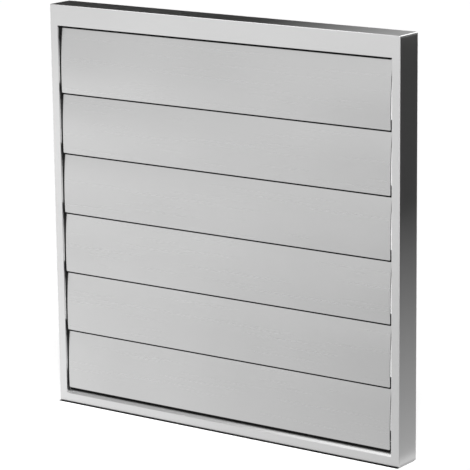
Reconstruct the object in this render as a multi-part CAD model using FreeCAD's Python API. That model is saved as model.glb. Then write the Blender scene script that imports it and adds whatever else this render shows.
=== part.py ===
# Gravity-closing louvre shutter (backdraft damper) for a wall fan outlet.
#
# A folded sheet frame holds two pivot rails. Six louvre blades hang between the rails on short
# steel pins that turn in plastic bushes. Air from behind swings the blades up and out. When it
# stops they fall shut, each lip closing in front of the top of the blade below.
#
# Millimetres, +X to the right seen from the front, +Y into the wall, +Z up. The origin is the
# middle of the four wall-screw holes, on the back face of the frame.
import FreeCAD, Part
import math
import os

Vector = FreeCAD.Vector

# Frame
FRAME_WIDTH = 400.0
FRAME_HEIGHT = 400.0
FRAME_DEPTH = 30.0
FRAME_SHEET = 1.5
BEND_RADIUS = 1.0
OPENING_EDGE_RADIUS = 0.5
SIDE_BORDER = 9.0
SILL_BORDER = 9.0
HEAD_BORDER = 20.5
HEAD_RETURN_GAP = 1.0
STILE_RETURN = 2.0
REAR_FLANGE = 24.0
SILL_SLOPE_DEG = 38.0
SILL_UPSTAND = 10.0
SEAM_WIDTH = 0.4
SEAM_DEPTH = 0.4

# Wall-screw holes in the rear flange
SCREW_HOLE_DIAMETER = 5.5
SCREW_HOLE_RISE = 300.0

# Pivot rails
RAIL_SHEET = 1.5
RAIL_EDGE_GAP = 0.5
RIVET_DIAMETER = 3.2
RIVET_HEAD_DIAMETER = 5.6
RIVETS_PER_RAIL = 4

# Blades
BLADE_COUNT = 6
BLADE_SHEET = 1.0
BLADE_CORNER_RADIUS = 1.5
BLADE_SETBACK = 1.6
BLADE_CREST = 16.0
LIP_EDGE_RADIUS = 0.6
LIP_ABOVE_SILL = 5.8
LIP_ABOVE_HINGE = 5.0
HEAD_ABOVE_HINGE = 11.5
TOP_LAP = 14.0
OPEN_DEG = 80.0

# Pins and bushes
PIN_DIAMETER = 3.0
PIN_GRIP = 24.0
PIN_PROUD = 0.6
PIN_CHAMFER = 0.4
BOSS_WALL = 1.5
BOSS_INSET = 0.1
BUSH_WALL = 1.0
BUSH_FLANGE = 1.2
BUSH_TAIL = 3.0
BUSH_SNAP = 0.35
RUNNING_CLEARANCE = 0.05
SEAT_CLEARANCE = 0.05
END_PLAY = 1.0

# Foam strips behind the lips and under the head, and the buttons that stop the blades when open
SEAL_THICKNESS = 1.0
SEAL_HEIGHT = 6.0
SEAL_HANG = 1.5
SILL_SEAL_HANG = 2.2
SEAL_RIB = 1.0
SEAL_RIB_DEPTH = 0.7
SEAL_END_INSET = 0.3
HEAD_SEAL_HEIGHT = 2.0
CLOSING_GAP = 0.3
STOP_DIAMETER = 4.0
STOP_PROUD = 4.5
STOP_ABOVE_HINGE = 8.0

# How far a cutter runs past the wall it cuts, how near two places count as the same, and the
# angle of a mitred corner
CUT_OVERRUN = 1.0
SAME_PLACE = 1e-6
MITRE_DEG = 45.0

# Places worked out from the sizes above
HALF_WIDTH = FRAME_WIDTH / 2
HALF_HEIGHT = FRAME_HEIGHT / 2
FRONT_Y = -FRAME_DEPTH
OPENING_HALF_WIDTH = HALF_WIDTH - SIDE_BORDER
OPENING_BOTTOM = -HALF_HEIGHT + SILL_BORDER
OPENING_TOP = HALF_HEIGHT - HEAD_BORDER

TOP_HINGE_Z = OPENING_TOP - HEAD_ABOVE_HINGE
BOTTOM_LIP_Z = OPENING_BOTTOM + LIP_ABOVE_SILL
BLADE_PITCH = (TOP_HINGE_Z + LIP_ABOVE_HINGE - BOTTOM_LIP_Z) / BLADE_COUNT
LIP_DROP = BLADE_PITCH - LIP_ABOVE_HINGE

# The blade face is an arc, furthest forward at its crest a little above the lip. It leans back
# towards the top, to pass behind the lip of the blade above with room for the foam strip, which
# hangs a little below that lip.
BLADE_RAKE = BLADE_SHEET + SEAL_THICKNESS + CLOSING_GAP
LIP_TO_CENTRE = (BLADE_RAKE ** 2 + BLADE_PITCH ** 2 - 2 * BLADE_PITCH * BLADE_CREST) / (2 * BLADE_RAKE)
FACE_RADIUS = math.hypot(LIP_TO_CENTRE, BLADE_CREST)
FACE_CENTRE_Y = FRONT_Y + BLADE_SETBACK + FACE_RADIUS
LIP_Y = FACE_CENTRE_Y - LIP_TO_CENTRE

PIN_RADIUS = PIN_DIAMETER / 2
BOSS_RADIUS = PIN_RADIUS + BOSS_WALL
HINGE_Y = FACE_CENTRE_Y - math.sqrt((FACE_RADIUS - BOSS_RADIUS - BOSS_INSET) ** 2
                                    - (LIP_DROP - BLADE_CREST) ** 2)

BUSH_BORE_RADIUS = PIN_RADIUS + RUNNING_CLEARANCE
BUSH_RADIUS = BUSH_BORE_RADIUS + BUSH_WALL
BUSH_END = OPENING_HALF_WIDTH + RAIL_SHEET + BUSH_TAIL
BLADE_HALF_LENGTH = OPENING_HALF_WIDTH - BUSH_FLANGE - END_PLAY

RAIL_LEG_END = HALF_WIDTH - FRAME_SHEET - RAIL_EDGE_GAP
RIVET_X = (OPENING_HALF_WIDTH + RAIL_SHEET + RAIL_LEG_END) / 2
SCREW_HOLE_X = HALF_WIDTH - (SIDE_BORDER + REAR_FLANGE) / 2

ALONG_X = Vector(1, 0, 0)
ALONG_Y = Vector(0, 1, 0)
ALONG_Z = Vector(0, 0, 1)


def hinge_z(number):
    """Height of the hinge axis of blade 1 (top) to BLADE_COUNT (bottom)."""
    return TOP_HINGE_Z - (number - 1) * BLADE_PITCH


def box(x_range, y_range, z_range):
    """Box between two values on each axis."""
    low = Vector(x_range[0], y_range[0], z_range[0])
    return Part.makeBox(x_range[1] - x_range[0], y_range[1] - y_range[0],
                        z_range[1] - z_range[0], low)


def cylinder_x(radius, x_range, y, z):
    """Cylinder along X."""
    return Part.makeCylinder(radius, x_range[1] - x_range[0], Vector(x_range[0], y, z), ALONG_X)


def cylinder_y(radius, y_range, x, z):
    """Cylinder along Y."""
    return Part.makeCylinder(radius, y_range[1] - y_range[0], Vector(x, y_range[0], z), ALONG_Y)


def extrude_outline(edges, x_range):
    """Closed outline drawn in the YZ plane, swept along X."""
    wire = Part.Wire(Part.__sortEdges__(edges))
    face = Part.Face(wire)
    face.translate(Vector(x_range[0], 0, 0))
    return face.extrude(Vector(x_range[1] - x_range[0], 0, 0))


def line(start, end):
    """Straight edge between two (y, z) points."""
    return Part.LineSegment(Vector(0, *start), Vector(0, *end)).toShape()


def arc(start, middle, end):
    """Arc edge through three (y, z) points."""
    return Part.Arc(Vector(0, *start), Vector(0, *middle), Vector(0, *end)).toShape()


def polygon(points):
    """Straight edges round a list of (y, z) points."""
    return [line(a, b) for a, b in zip(points, points[1:] + points[:1])]


def mirrored(shape):
    """Left-hand copy of a right-hand piece."""
    return shape.mirror(Vector(0, 0, 0), ALONG_X)


def sill_fold():
    """Sloped sill that sheds rain, with the upstand that the bottom blade closes against."""
    rise = math.tan(math.radians(SILL_SLOPE_DEG))
    under = FRAME_SHEET / math.cos(math.radians(SILL_SLOPE_DEG))
    run = LIP_Y - FRONT_Y + BLADE_SHEET + SEAL_THICKNESS + CLOSING_GAP
    back = run + FRAME_SHEET
    crest = OPENING_BOTTOM + run * rise + SILL_UPSTAND
    section = [(FRONT_Y, OPENING_BOTTOM),
               (FRONT_Y + run, OPENING_BOTTOM + run * rise),
               (FRONT_Y + run, crest),
               (FRONT_Y + back, crest),
               (FRONT_Y + back, OPENING_BOTTOM + back * rise - under),
               (FRONT_Y, OPENING_BOTTOM - under)]
    return extrude_outline(polygon(section), (-OPENING_HALF_WIDTH, OPENING_HALF_WIDTH))


def make_frame():
    """Folded sheet frame: front border, four walls, rear flange, returns round the opening, sill."""
    shell = box((-HALF_WIDTH, HALF_WIDTH), (FRONT_Y, 0), (-HALF_HEIGHT, HALF_HEIGHT))
    shell = shell.makeFillet(BEND_RADIUS, shell.Edges)
    shell = shell.cut(box((-HALF_WIDTH + FRAME_SHEET, HALF_WIDTH - FRAME_SHEET),
                          (FRONT_Y + FRAME_SHEET, -FRAME_SHEET),
                          (-HALF_HEIGHT + FRAME_SHEET, HALF_HEIGHT - FRAME_SHEET)))
    front_opening = box((-OPENING_HALF_WIDTH, OPENING_HALF_WIDTH),
                        (FRONT_Y - CUT_OVERRUN, FRONT_Y + FRAME_SHEET + CUT_OVERRUN),
                        (OPENING_BOTTOM, OPENING_TOP))
    rear_opening = box((-HALF_WIDTH + REAR_FLANGE, HALF_WIDTH - REAR_FLANGE),
                       (-FRAME_SHEET - CUT_OVERRUN, CUT_OVERRUN),
                       (-HALF_HEIGHT + REAR_FLANGE, HALF_HEIGHT - REAR_FLANGE))
    head_return = box((-OPENING_HALF_WIDTH, OPENING_HALF_WIDTH),
                      (FRONT_Y, head_face_y(0) - HEAD_RETURN_GAP),
                      (OPENING_TOP, OPENING_TOP + FRAME_SHEET))
    stile_return = box((OPENING_HALF_WIDTH, OPENING_HALF_WIDTH + FRAME_SHEET),
                       (FRONT_Y, FRONT_Y + STILE_RETURN),
                       (OPENING_BOTTOM - FRAME_SHEET, OPENING_TOP + FRAME_SHEET))
    frame = shell.cut(front_opening).cut(rear_opening)
    frame = frame.fuse([head_return, stile_return, mirrored(stile_return), sill_fold()])
    frame = frame.removeSplitter()
    frame = frame.makeFillet(OPENING_EDGE_RADIUS, front_opening_edges(frame))
    for x in (-SCREW_HOLE_X, SCREW_HOLE_X):
        for z in (-SCREW_HOLE_RISE / 2, SCREW_HOLE_RISE / 2):
            frame = frame.cut(cylinder_y(SCREW_HOLE_DIAMETER / 2,
                                         (-FRAME_SHEET - CUT_OVERRUN, CUT_OVERRUN), x, z))
    for x, z in rivet_places():
        frame = frame.cut(rivet(x, z))
    return frame.cut(corner_seams()).removeSplitter()


def corner_seams():
    """Dressed seams at the corners: under and over the ends of the sides, and mitred at the back."""
    side = box((HALF_WIDTH - SEAM_DEPTH, HALF_WIDTH + CUT_OVERRUN),
               (FRONT_Y + FRAME_SHEET, CUT_OVERRUN),
               (HALF_HEIGHT - FRAME_SHEET - SEAM_WIDTH, HALF_HEIGHT - FRAME_SHEET))
    mitre_length = REAR_FLANGE * math.sqrt(2)
    mitre = box((-mitre_length - CUT_OVERRUN, CUT_OVERRUN), (-SEAM_DEPTH, CUT_OVERRUN),
                (-SEAM_WIDTH / 2, SEAM_WIDTH / 2))
    mitre.rotate(Vector(0, 0, 0), ALONG_Y, -MITRE_DEG)
    mitre.translate(Vector(HALF_WIDTH, 0, HALF_HEIGHT))
    top_right = [side, mitre]
    right = top_right + [shape.mirror(Vector(0, 0, 0), ALONG_Z) for shape in top_right]
    return right + [mirrored(shape) for shape in right]


def front_opening_edges(frame):
    """Edges of the front opening that lie in the frame's front face."""
    return [edge for edge in frame.Edges
            if all(abs(v.Y - FRONT_Y) < SAME_PLACE for v in edge.Vertexes)
            and all(abs(v.X) < OPENING_HALF_WIDTH + SAME_PLACE for v in edge.Vertexes)
            and all(OPENING_BOTTOM - SAME_PLACE < v.Z < OPENING_TOP + SAME_PLACE for v in edge.Vertexes)]


def rivet_places():
    """Rivets that hold the pivot rails to the rear flange."""
    step = FRAME_HEIGHT / RIVETS_PER_RAIL
    heights = [-HALF_HEIGHT + step * (number + 0.5) for number in range(RIVETS_PER_RAIL)]
    return [(x, z) for x in (-RIVET_X, RIVET_X) for z in heights]


def rivet(x, z):
    """Flush rivet: countersunk head in the flange, shank through the rail's leg."""
    shank_radius = RIVET_DIAMETER / 2
    head_radius = RIVET_HEAD_DIAMETER / 2
    head_depth = head_radius - shank_radius
    head = Part.makeCone(head_radius, shank_radius, head_depth, Vector(x, 0, z), -ALONG_Y)
    shank = cylinder_y(shank_radius, (-FRAME_SHEET - RAIL_SHEET, -head_depth), x, z)
    return head.fuse(shank).removeSplitter()


def make_rail():
    """Right-hand pivot rail: a channel between the stile return and the rear flange."""
    web_outer = OPENING_HALF_WIDTH + RAIL_SHEET
    y_front = FRONT_Y + STILE_RETURN
    y_back = -FRAME_SHEET
    half_length = HALF_HEIGHT - FRAME_SHEET - RAIL_EDGE_GAP
    heights = (-half_length, half_length)
    rail = box((OPENING_HALF_WIDTH, RAIL_LEG_END), (y_front, y_back), heights)
    bends = [edge for edge in rail.Edges
             if all(abs(v.X - OPENING_HALF_WIDTH) < SAME_PLACE for v in edge.Vertexes)
             and abs(edge.Vertexes[0].Z - edge.Vertexes[-1].Z) > half_length]
    rail = rail.makeFillet(BEND_RADIUS, bends)
    rail = rail.cut(box((web_outer, RAIL_LEG_END + CUT_OVERRUN),
                        (y_front + RAIL_SHEET, y_back - RAIL_SHEET),
                        (heights[0] - CUT_OVERRUN, heights[1] + CUT_OVERRUN)))
    for number in range(1, BLADE_COUNT + 1):
        z = hinge_z(number)
        rail = rail.cut(cylinder_x(BUSH_RADIUS + SEAT_CLEARANCE,
                                   (OPENING_HALF_WIDTH - CUT_OVERRUN, web_outer + CUT_OVERRUN),
                                   HINGE_Y, z))
        rail = rail.fuse(stop_button(z))
    for x, z in rivet_places():
        rail = rail.cut(cylinder_y(RIVET_DIAMETER / 2,
                                   (y_back - RAIL_SHEET - CUT_OVERRUN, y_back + CUT_OVERRUN), x, z))
    return rail.removeSplitter()


def stop_button(axis_z):
    """Button pressed out of the rail that meets the blade's top edge when it is fully open."""
    height = STOP_ABOVE_HINGE
    back_radius = FACE_RADIUS - BLADE_SHEET
    lean = math.asin((LIP_DROP + height - BLADE_CREST) / back_radius)
    forward = HINGE_Y - face_point(back_radius, LIP_DROP + height, 0)[0]
    turn = math.radians(OPEN_DEG)
    reach = STOP_DIAMETER / 2 + CLOSING_GAP
    ahead = forward * math.cos(turn) - height * math.sin(turn) - reach * math.cos(lean + turn)
    above = forward * math.sin(turn) + height * math.cos(turn) - reach * math.sin(lean + turn)
    return cylinder_x(STOP_DIAMETER / 2, (OPENING_HALF_WIDTH - STOP_PROUD, OPENING_HALF_WIDTH),
                      HINGE_Y - ahead, axis_z + above)


def make_bush(axis_z):
    """Right-hand bush that snaps into the rail, with a flange as wide as the blade's hinge boss."""
    web_outer = OPENING_HALF_WIDTH + RAIL_SHEET
    snap_start = web_outer + SEAT_CLEARANCE
    flange = cylinder_x(BOSS_RADIUS, (OPENING_HALF_WIDTH - BUSH_FLANGE, OPENING_HALF_WIDTH),
                        HINGE_Y, axis_z)
    barrel = cylinder_x(BUSH_RADIUS, (OPENING_HALF_WIDTH, BUSH_END), HINGE_Y, axis_z)
    snap = Part.makeCone(BUSH_RADIUS + SEAT_CLEARANCE + BUSH_SNAP, BUSH_RADIUS, BUSH_END - snap_start,
                         Vector(snap_start, HINGE_Y, axis_z), ALONG_X)
    bore = cylinder_x(BUSH_BORE_RADIUS,
                      (OPENING_HALF_WIDTH - BUSH_FLANGE - CUT_OVERRUN, BUSH_END + CUT_OVERRUN),
                      HINGE_Y, axis_z)
    return flange.fuse([barrel, snap]).cut(bore).removeSplitter()


def make_pin(axis_z):
    """Right-hand steel pin, pressed into the blade and turning in the bush."""
    pin = cylinder_x(PIN_RADIUS, (BLADE_HALF_LENGTH - PIN_GRIP, BUSH_END + PIN_PROUD), HINGE_Y, axis_z)
    ends = [edge for edge in pin.Edges if edge.isClosed()]
    return pin.makeChamfer(PIN_CHAMFER, ends)


def face_point(radius, height, lip_z):
    """Point on an arc concentric with the blade face, at a height above the lip."""
    return (FACE_CENTRE_Y - math.sqrt(radius ** 2 - (height - BLADE_CREST) ** 2), lip_z + height)


def head_face_y(drop):
    """Front of the closed top blade, at a drop below the head of the opening."""
    return face_point(FACE_RADIUS, LIP_DROP + HEAD_ABOVE_HINGE - drop, 0)[0]


def make_blade(axis_z):
    """Extruded blade: curved face, hinge boss, rib above the foam strip and rounded lower corners."""
    lip_z = axis_z - LIP_DROP
    top = LIP_DROP + TOP_LAP
    back_radius = FACE_RADIUS - BLADE_SHEET
    rib_low = SEAL_HEIGHT - SEAL_HANG
    rib_high = rib_low + SEAL_RIB
    front_low = face_point(FACE_RADIUS, LIP_EDGE_RADIUS, lip_z)
    front_top = face_point(FACE_RADIUS, top, lip_z)
    back_top = face_point(back_radius, top, lip_z)
    rib_top = face_point(back_radius, rib_high, lip_z)
    rib_bottom = face_point(back_radius, rib_low, lip_z)
    rib_y = rib_bottom[0] + SEAL_RIB_DEPTH
    back_low = face_point(back_radius, 0, lip_z)
    edge_bottom = (front_low[0] + LIP_EDGE_RADIUS, lip_z)
    round_off = LIP_EDGE_RADIUS * (1 - math.sqrt(0.5))
    edge_middle = (front_low[0] + round_off, lip_z + round_off)
    outline = [arc(front_low, face_point(FACE_RADIUS, top / 2, lip_z), front_top),
               line(front_top, back_top),
               arc(back_top, face_point(back_radius, (top + rib_high) / 2, lip_z), rib_top),
               line(rib_top, (rib_y, rib_top[1])),
               line((rib_y, rib_top[1]), (rib_y, rib_bottom[1])),
               line((rib_y, rib_bottom[1]), rib_bottom),
               arc(rib_bottom, face_point(back_radius, rib_low / 2, lip_z), back_low),
               line(back_low, edge_bottom),
               arc(edge_bottom, edge_middle, front_low)]
    span = (-BLADE_HALF_LENGTH, BLADE_HALF_LENGTH)
    blade = extrude_outline(outline, span).fuse(cylinder_x(BOSS_RADIUS, span, HINGE_Y, axis_z))
    corners = box(span, (FRONT_Y, 0), (lip_z, axis_z + TOP_LAP + BLADE_SHEET))
    low_edges = [edge for edge in corners.Edges
                 if all(abs(v.Z - lip_z) < SAME_PLACE for v in edge.Vertexes)
                 and abs(edge.Vertexes[0].X - edge.Vertexes[-1].X) < SAME_PLACE]
    blade = blade.common(corners.makeFillet(BLADE_CORNER_RADIUS, low_edges))
    bore = cylinder_x(PIN_RADIUS, (span[0] - CUT_OVERRUN, span[1] + CUT_OVERRUN), HINGE_Y, axis_z)
    return blade.cut(bore).removeSplitter()


def make_seal(axis_z, hang):
    """Foam strip glued behind the lip, under the rib. It hangs a little below the lip."""
    lip_z = axis_z - LIP_DROP
    low = -hang
    high = SEAL_HEIGHT - SEAL_HANG
    glued = FACE_RADIUS - BLADE_SHEET
    free = glued - SEAL_THICKNESS
    corners = [face_point(glued, low, lip_z), face_point(glued, high, lip_z),
               face_point(free, high, lip_z), face_point(free, low, lip_z)]
    middle = (low + high) / 2
    outline = [arc(corners[0], face_point(glued, middle, lip_z), corners[1]),
               line(corners[1], corners[2]),
               arc(corners[2], face_point(free, middle, lip_z), corners[3]),
               line(corners[3], corners[0])]
    half = BLADE_HALF_LENGTH - SEAL_END_INSET
    return extrude_outline(outline, (-half, half))


def make_head_seal():
    """Foam strip glued under the head return, which the top blade closes against."""
    half = BLADE_HALF_LENGTH - SEAL_END_INSET
    return box((-half, half),
               (FRONT_Y + FRAME_SHEET, head_face_y(HEAD_SEAL_HEIGHT) - CLOSING_GAP),
               (OPENING_TOP - HEAD_SEAL_HEIGHT, OPENING_TOP))


def build():
    """All pieces by node name."""
    rail = make_rail()
    pieces = {"frame": make_frame(),
              "pivot_rail_left": mirrored(rail),
              "pivot_rail_right": rail,
              "rail_rivets": Part.makeCompound([rivet(x, z) for x, z in rivet_places()]),
              "head_seal": make_head_seal()}
    for number in range(1, BLADE_COUNT + 1):
        z = hinge_z(number)
        bush = make_bush(z)
        pin = make_pin(z)
        pieces[f"blade_{number}"] = make_blade(z)
        hang = SILL_SEAL_HANG if number == BLADE_COUNT else SEAL_HANG
        pieces[f"lip_seal_{number}"] = make_seal(z, hang)
        pieces[f"pivot_pin_left_{number}"] = mirrored(pin)
        pieces[f"pivot_pin_right_{number}"] = pin
        pieces[f"pivot_bush_left_{number}"] = mirrored(bush)
        pieces[f"pivot_bush_right_{number}"] = bush
    return pieces


def main():
    """Writes one STEP file per piece."""
    os.makedirs("parts", exist_ok=True)
    for name, shape in build().items():
        shape.exportStep(f"parts/{name}.step")
        solids = len(shape.Solids)
        print(f"{name}: {solids} solid(s), valid {shape.isValid()}, {shape.Volume / 1000:.2f} cm3")
    print(f"pitch {BLADE_PITCH:.2f}, face radius {FACE_RADIUS:.1f}, hinge y {HINGE_Y:.3f}")
    print("hinge heights", [round(hinge_z(n), 3) for n in range(1, BLADE_COUNT + 1)])


main()
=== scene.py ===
import math

import bpy
from mathutils import Matrix, Vector


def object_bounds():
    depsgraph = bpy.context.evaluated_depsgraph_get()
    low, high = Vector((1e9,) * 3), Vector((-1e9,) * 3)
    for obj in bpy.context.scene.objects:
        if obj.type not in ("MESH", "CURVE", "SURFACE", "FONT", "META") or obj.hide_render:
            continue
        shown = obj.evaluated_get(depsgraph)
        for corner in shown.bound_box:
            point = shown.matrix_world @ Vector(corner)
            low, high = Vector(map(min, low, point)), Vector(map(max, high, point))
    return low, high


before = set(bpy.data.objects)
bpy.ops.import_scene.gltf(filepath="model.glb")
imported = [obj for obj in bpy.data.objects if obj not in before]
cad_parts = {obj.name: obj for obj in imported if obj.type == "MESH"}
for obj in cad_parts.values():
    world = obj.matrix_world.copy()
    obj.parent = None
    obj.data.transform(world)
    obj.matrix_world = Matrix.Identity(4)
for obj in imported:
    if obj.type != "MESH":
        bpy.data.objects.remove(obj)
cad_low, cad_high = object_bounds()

# Lengths are in metres. Strengths and tones are radiances, where 1 is white.

# Camera, fitted to the corners of the frame in the photograph. Lens and sensor are in millimetres.
CAMERA_AZIMUTH_DEG = 35.58
CAMERA_ELEVATION_DEG = 12.93
CAMERA_ROLL_DEG = -0.64
CAMERA_DISTANCE = 2.470
CAMERA_AIM_RIGHT = -0.0028
CAMERA_AIM_UP = -0.0107
CAMERA_LENS = 198.6
CAMERA_SENSOR = 36.0
CAMERA_REACH = 100.0

# Floor, room and lamp. WALL_TOP and CEILING_EDGE are heights of a unit direction, between which the
# room goes from its strength at the horizon to that at the zenith.
FLOOR_SIZE = 18.0
FLOOR_GREY = 0.86
FLOOR_ROUGHNESS = 0.9
FLOOR_GLOW = 0.58
ROOM_HORIZON = 1.0
ROOM_ZENITH = 0.55
WALL_TOP = 0.12
CEILING_EDGE = 0.60
ROOM_LIGHT = 0.12
SUN_STRENGTH = 1.4
SUN_ELEVATION_DEG = 60.0
SUN_ANGLE_DEG = 8.0

# Dark cards close beside and above the frame, which its right side and its top mirror. Each is graded
# between two tones over a share of its length.
CARD_GAP = 0.014
SIDE_CARD_DEPTH = 0.16
SIDE_CARD_BEHIND = 0.04
SIDE_CARD_TONES = (0.50, 0.05)
SIDE_CARD_SHARE = 0.6
TOP_CARD_DEPTH = 0.50
TOP_CARD_INSET = 0.006
TOP_CARD_TONES = (0.50, 0.0)
TOP_CARD_SHARE = 0.2

# Paper on the floor and two cards standing at its far end, graded from left to right, which the front
# of the frame and the flaps mirror
PAPER_WIDTH = 1.2
PAPER_ENDS = (-0.15, 0.8)
PAPER_RISE = 0.0001
PAPER_TONES = (1.56, 0.43)
LOW_CARD_FOOT = 0.07
LOW_CARD_TOP = 0.22
LOW_CARD_TONES = (1.60, 0.54)
HIGH_CARD_TOP = 0.90
HIGH_CARD_TONES = (0.85, 1.14)

# Painted contact shadow: a black line on the floor under the frame's front edge, which the camera sees and
# the bottom fold mirrors
PAINTED_SHADOW_AHEAD = 0.0025
PAINTED_SHADOW_DEPTH = 0.030
PAINTED_SHADOW_RISE = 0.0002
PAINTED_SHADOW_TONE = 0.0

# Bright strips that the folded edges mirror
STRIP_DISTANCE = 0.15
STRIP_WIDTH = 0.14
RIGHT_STRIP_TONE = 1.2
TOP_STRIP_TONE = 2.2

# Textures, each as a scale per metre along the three axes and a level of detail, and the depths that
# they raise
CLOUD = ((9.0, 9.0, 9.0), 4.0)
GRAIN = ((6.0, 700.0, 700.0), 3.0)
GRAIN_DEPTH = 4e-7
PEEL = ((900.0, 900.0, 900.0), 2.0)
PEEL_DEPTH = 2e-5
DRAWN_LINES = ((40.0, 4000.0, 4000.0), 2.0)
SKIN = ((2500.0, 2500.0, 2500.0), 2.0)
SKIN_DEPTH = 1e-5
CELLS = ((1800.0, 1800.0, 1800.0), 4.0)
CELL_DEPTH = 8e-5

# The part of a noise that carries a grey or a roughness from its low value to its high one
GREY_SPAN = (0.3, 0.7)
ROUGHNESS_SPAN = (0.25, 0.75)

# Greys and roughness of the materials, each from low to high, and specular levels
FRAME_GREYS = (0.635, 0.66)
FRAME_ROUGHNESS = (0.295, 0.325)
BLADE_GREYS = (0.535, 0.56)
BLADE_ROUGHNESS = (0.27, 0.29)
RIVET_GREYS = (0.56, 0.62)
RIVET_ROUGHNESS = (0.30, 0.40)
RAIL_GREYS = (0.014, 0.022)
RAIL_ROUGHNESS = (0.50, 0.66)
RAIL_SPECULAR = 0.3
PIN_GREYS = (0.46, 0.54)
PIN_ROUGHNESS = (0.20, 0.34)
BUSH_GREYS = (0.016, 0.026)
BUSH_ROUGHNESS = (0.45, 0.62)
FOAM_GREYS = (0.006, 0.022)
FOAM_ROUGHNESS = (0.80, 0.98)
FOAM_SPECULAR = 0.1
PLAIN_SPECULAR = 0.5

SIZE = cad_high - cad_low
CENTRE = (cad_low + cad_high) / 2
FLOOR_Z = cad_low.z
X_AXIS = Vector((1, 0, 0))
Y_AXIS = Vector((0, 1, 0))
Z_AXIS = Vector((0, 0, 1))


def grey(tone):
    """Opaque colour without a hue."""
    return (tone, tone, tone, 1.0)


def direction(azimuth_deg, elevation_deg):
    """Unit direction at an azimuth, counted from the front towards the right, and an elevation."""
    azimuth = math.radians(azimuth_deg)
    elevation = math.radians(elevation_deg)
    return Vector((math.sin(azimuth) * math.cos(elevation),
                   -math.cos(azimuth) * math.cos(elevation),
                   math.sin(elevation)))


def mirrored_to_camera(normal):
    """Direction that a surface with this unit normal mirrors to the camera."""
    back = direction(CAMERA_AZIMUTH_DEG, CAMERA_ELEVATION_DEG)
    return 2 * back.dot(normal) * normal - back


def new_material(name):
    """Material with nodes, as (material, node tree, shader)."""
    material = bpy.data.materials.new(name)
    material.use_nodes = True
    tree = material.node_tree
    return material, tree, tree.nodes["Principled BSDF"]


def noise(tree, scale, detail):
    """Noise from 0 to 1 in the piece's own coordinates, with a scale per metre along each axis."""
    coordinates = tree.nodes.new("ShaderNodeTexCoord")
    mapping = tree.nodes.new("ShaderNodeMapping")
    mapping.inputs["Scale"].default_value = scale
    texture = tree.nodes.new("ShaderNodeTexNoise")
    texture.inputs["Scale"].default_value = 1.0
    texture.inputs["Detail"].default_value = detail
    tree.links.new(coordinates.outputs["Object"], mapping.inputs["Vector"])
    tree.links.new(mapping.outputs["Vector"], texture.inputs["Vector"])
    return texture.outputs["Fac"]


def map_range(tree, value, source, target):
    """A value carried from one range to another, each given by its two ends, and held at the ends."""
    ranged = tree.nodes.new("ShaderNodeMapRange")
    ranged.inputs["From Min"].default_value = source[0]
    ranged.inputs["From Max"].default_value = source[1]
    ranged.inputs["To Min"].default_value = target[0]
    ranged.inputs["To Max"].default_value = target[1]
    tree.links.new(value, ranged.inputs["Value"])
    return ranged


def blend_greys(tree, value, greys):
    """Colour between two greys, by a noise value."""
    ramp = tree.nodes.new("ShaderNodeValToRGB")
    for element, position, tone in zip(ramp.color_ramp.elements, GREY_SPAN, greys):
        element.position = position
        element.color = grey(tone)
    tree.links.new(value, ramp.inputs["Fac"])
    return ramp.outputs["Color"]


def bumped(tree, value, depth):
    """Surface normal raised by a noise value, with a depth in metres."""
    bump = tree.nodes.new("ShaderNodeBump")
    bump.inputs["Strength"].default_value = 1.0
    bump.inputs["Distance"].default_value = depth
    tree.links.new(value, bump.inputs["Height"])
    return bump.outputs["Normal"]


def finish(name, texture, greys, roughness, cloud=None, depth=None, metallic=0.0, specular=PLAIN_SPECULAR):
    """Material whose texture varies its roughness, raises its surface if there is a depth, and varies its
    grey unless a cloud does."""
    material, tree, shader = new_material(name)
    fine = noise(tree, *texture)
    shade = noise(tree, *cloud) if cloud else fine
    tree.links.new(blend_greys(tree, shade, greys), shader.inputs["Base Color"])
    dulled = map_range(tree, fine, ROUGHNESS_SPAN, roughness)
    tree.links.new(dulled.outputs["Result"], shader.inputs["Roughness"])
    if depth:
        tree.links.new(bumped(tree, fine, depth), shader.inputs["Normal"])
    shader.inputs["Metallic"].default_value = metallic
    shader.inputs["Specular IOR Level"].default_value = specular
    return material


def aluminium(name, greys, roughness):
    """Satin aluminium with a faint rolled grain and a clouded grey."""
    return finish(name, GRAIN, greys, roughness, cloud=CLOUD, depth=GRAIN_DEPTH, metallic=1.0)


def paint_all():
    """A procedural material for each slot of the record, given to every CAD node of that slot."""
    materials = {
        "frame_aluminium": aluminium("frame_satin", FRAME_GREYS, FRAME_ROUGHNESS),
        "blade_aluminium": aluminium("blade_satin", BLADE_GREYS, BLADE_ROUGHNESS),
        "rivet_aluminium": aluminium("rivet_satin", RIVET_GREYS, RIVET_ROUGHNESS),
        "rail_black": finish("rail_powder_coat", PEEL, RAIL_GREYS, RAIL_ROUGHNESS,
                             depth=PEEL_DEPTH, specular=RAIL_SPECULAR),
        "pin_steel": finish("pin_steel_drawn", DRAWN_LINES, PIN_GREYS, PIN_ROUGHNESS, metallic=1.0),
        "bush_nylon": finish("bush_nylon_black", SKIN, BUSH_GREYS, BUSH_ROUGHNESS, depth=SKIN_DEPTH),
        "seal_foam": finish("seal_foam_black", CELLS, FOAM_GREYS, FOAM_ROUGHNESS,
                            depth=CELL_DEPTH, specular=FOAM_SPECULAR),
    }
    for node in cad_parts.values():
        slot = node.material_slots[0]
        slot.material = materials[slot.material.name]


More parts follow.
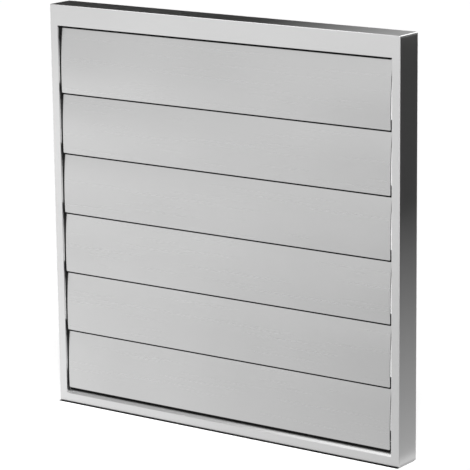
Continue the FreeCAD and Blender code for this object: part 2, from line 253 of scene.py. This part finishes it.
def make_camera():
    """Long lens at the photograph's viewing angle."""
    azimuth = math.radians(CAMERA_AZIMUTH_DEG)
    back = direction(CAMERA_AZIMUTH_DEG, CAMERA_ELEVATION_DEG)
    right = Vector((math.cos(azimuth), math.sin(azimuth), 0.0))
    up = back.cross(right)
    place = back * CAMERA_DISTANCE + right * CAMERA_AIM_RIGHT + up * CAMERA_AIM_UP
    facing = Matrix((right, up, back)).transposed()
    roll = Matrix.Rotation(math.radians(CAMERA_ROLL_DEG), 3, "Z")
    data = bpy.data.cameras.new("camera")
    data.sensor_width = CAMERA_SENSOR
    data.lens = CAMERA_LENS
    data.clip_end = CAMERA_REACH
    camera = bpy.data.objects.new("camera", data)
    camera.matrix_world = Matrix.Translation(place) @ (facing @ roll).to_4x4()
    bpy.context.scene.collection.objects.link(camera)
    bpy.context.scene.camera = camera


def seen_or_mirrored(tree):
    """1 for rays from the camera and for reflected or transmitted ones, otherwise 0."""
    path = tree.nodes.new("ShaderNodeLightPath")
    value = path.outputs["Is Camera Ray"]
    for kind in ("Is Glossy Ray", "Is Transmission Ray"):
        either = tree.nodes.new("ShaderNodeMath")
        either.operation = "MAXIMUM"
        tree.links.new(value, either.inputs[0])
        tree.links.new(path.outputs[kind], either.inputs[1])
        value = either.outputs["Value"]
    return value


def make_world():
    """White room with a darker ceiling where it is seen or mirrored, and dimmer where it only lights."""
    world = bpy.data.worlds.new("room")
    world.use_nodes = True
    tree = world.node_tree
    background = tree.nodes["Background"]
    background.inputs["Color"].default_value = grey(1.0)
    coordinates = tree.nodes.new("ShaderNodeTexCoord")
    parts = tree.nodes.new("ShaderNodeSeparateXYZ")
    tree.links.new(coordinates.outputs["Generated"], parts.inputs["Vector"])
    wall = map_range(tree, parts.outputs["Z"], (WALL_TOP, CEILING_EDGE), (ROOM_HORIZON, ROOM_ZENITH))
    strength = map_range(tree, seen_or_mirrored(tree), (0.0, 1.0), (ROOM_LIGHT, ROOM_HORIZON))
    # The wall's strength at each height takes the place of the horizon's
    tree.links.new(wall.outputs["Result"], strength.inputs["To Max"])
    tree.links.new(strength.outputs["Result"], background.inputs["Strength"])
    bpy.context.scene.world = world


def make_sun():
    """Soft light from over the camera, so that the shadow falls behind the object."""
    data = bpy.data.lights.new("overhead", "SUN")
    data.energy = SUN_STRENGTH
    data.angle = math.radians(SUN_ANGLE_DEG)
    outward = direction(CAMERA_AZIMUTH_DEG, SUN_ELEVATION_DEG)
    turn = outward.to_track_quat("Z", "Y")
    sun = bpy.data.objects.new("overhead", data)
    sun.matrix_world = Matrix.Translation(CENTRE + outward) @ turn.to_matrix().to_4x4()
    sun.visible_camera = False
    bpy.context.scene.collection.objects.link(sun)


def card(name, centre, along, up, width, height):
    """Flat rectangle with its sides along two unit directions, linked to the scene."""
    mesh = bpy.data.meshes.new(name)
    corners = [(-width / 2, -height / 2, 0), (width / 2, -height / 2, 0),
               (width / 2, height / 2, 0), (-width / 2, height / 2, 0)]
    mesh.from_pydata(corners, [], [(0, 1, 2, 3)])
    plane = bpy.data.objects.new(name, mesh)
    turn = Matrix((along, up, along.cross(up))).transposed()
    plane.matrix_world = Matrix.Translation(centre) @ turn.to_4x4()
    bpy.context.scene.collection.objects.link(plane)
    return plane


def make_floor():
    """White floor that keeps the shadow, with a little glow for the camera and for reflections."""
    floor = card("floor", (0, 0, FLOOR_Z), X_AXIS, Y_AXIS, FLOOR_SIZE, FLOOR_SIZE)
    material, tree, shader = new_material("floor_white")
    shader.inputs["Base Color"].default_value = grey(FLOOR_GREY)
    shader.inputs["Roughness"].default_value = FLOOR_ROUGHNESS
    shader.inputs["Specular IOR Level"].default_value = 0.0
    shader.inputs["Emission Color"].default_value = grey(1.0)
    glow = map_range(tree, seen_or_mirrored(tree), (0.0, 1.0), (0.0, FLOOR_GLOW))
    tree.links.new(glow.outputs["Result"], shader.inputs["Emission Strength"])
    floor.data.materials.append(material)


def mirror_card(name, centre, along, up, width, height, tones, share=1.0):
    """Card seen only in reflections, graded from one tone to another over a share of its height."""
    plane = card(name, centre, along, up, width, height)
    material, tree, shader = new_material(name + "_tone")
    coordinates = tree.nodes.new("ShaderNodeTexCoord")
    parts = tree.nodes.new("ShaderNodeSeparateXYZ")
    tree.links.new(coordinates.outputs["Object"], parts.inputs["Vector"])
    graded = (-height / 2, -height / 2 + height * share)
    grade = map_range(tree, parts.outputs["Y"], graded, tones)
    tree.links.new(grade.outputs["Result"], shader.inputs["Emission Strength"])
    shader.inputs["Emission Color"].default_value = grey(1.0)
    shader.inputs["Base Color"].default_value = grey(0.0)
    shader.inputs["Specular IOR Level"].default_value = 0.0
    plane.data.materials.append(material)
    plane.visible_camera = False
    plane.visible_diffuse = False
    plane.visible_shadow = False
    return plane


def make_dark_cards():
    """Cards that grade the right side from the floor up, and the top from right to left."""
    beside = Vector((cad_high.x + CARD_GAP, cad_high.y + SIDE_CARD_BEHIND, CENTRE.z))
    mirror_card("side_card", beside, -Y_AXIS, Z_AXIS, SIDE_CARD_DEPTH, SIZE.z,
                SIDE_CARD_TONES, SIDE_CARD_SHARE)
    length = SIZE.x + TOP_CARD_DEPTH
    above = Vector((cad_high.x - TOP_CARD_INSET - length / 2,
                    cad_low.y + TOP_CARD_DEPTH / 2,
                    cad_high.z + CARD_GAP))
    mirror_card("top_card", above, -Y_AXIS, -X_AXIS, TOP_CARD_DEPTH, length,
                TOP_CARD_TONES, TOP_CARD_SHARE)


def make_front_cards():
    """Paper on the floor and two cards standing over its far end, where the front mirrors them."""
    toward = mirrored_to_camera(-Y_AXIS)
    toward.z = 0.0
    toward.normalize()
    rightward = toward.cross(-Z_AXIS)
    rise = Vector((0, 0, FLOOR_Z + PAPER_RISE))
    near, far = PAPER_ENDS
    mirror_card("floor_paper", toward * (near + far) / 2 + rise, toward, rightward,
                far - near, PAPER_WIDTH, PAPER_TONES)
    standing = (("low_card", LOW_CARD_FOOT, LOW_CARD_TOP, LOW_CARD_TONES),
                ("high_card", LOW_CARD_TOP, HIGH_CARD_TOP, HIGH_CARD_TONES))
    for name, low, high, tones in standing:
        middle = toward * far + rise + (low + high) / 2 * Z_AXIS
        mirror_card(name, middle, Z_AXIS, rightward, high - low, PAPER_WIDTH, tones)


def make_painted_contact_shadow():
    """Painted contact shadow: a black line on the floor under the frame's front edge, which the camera
    sees too.
    """
    middle = Vector((CENTRE.x,
                     cad_low.y - PAINTED_SHADOW_AHEAD + PAINTED_SHADOW_DEPTH / 2,
                     FLOOR_Z + PAINTED_SHADOW_RISE))
    # Painted shadow: this black card stands in for the shade where the front edge meets the floor
    painted_shadow = mirror_card("painted_contact_shadow", middle, X_AXIS, Y_AXIS, SIZE.x, PAINTED_SHADOW_DEPTH,
                       (PAINTED_SHADOW_TONE, PAINTED_SHADOW_TONE))
    painted_shadow.visible_camera = True


def make_strips():
    """Bright strips where the front's right and top edges and the top's right edge mirror them."""
    front_right = Vector((cad_high.x, cad_low.y, CENTRE.z))
    front_top = Vector((CENTRE.x, cad_low.y, cad_high.z))
    top_right = Vector((cad_high.x, CENTRE.y, cad_high.z))
    strips = (("right_strip", front_right, X_AXIS - Y_AXIS, Z_AXIS, SIZE.z, RIGHT_STRIP_TONE),
              ("top_strip", front_top, Z_AXIS - Y_AXIS, X_AXIS, SIZE.x, TOP_STRIP_TONE),
              ("corner_strip", top_right, Z_AXIS + X_AXIS, X_AXIS, STRIP_WIDTH, TOP_STRIP_TONE))
    for name, edge, normal, lengthwise, length, tone in strips:
        toward = mirrored_to_camera(normal.normalized())
        across = toward.cross(lengthwise).normalized()
        middle = edge + STRIP_DISTANCE * toward
        mirror_card(name, middle, across, lengthwise, STRIP_WIDTH, length, (tone, tone))


make_camera()
make_world()
make_floor()
make_sun()
make_dark_cards()
make_front_cards()
make_painted_contact_shadow()
make_strips()
paint_all()
bpy.context.scene.view_settings.view_transform = "Standard"
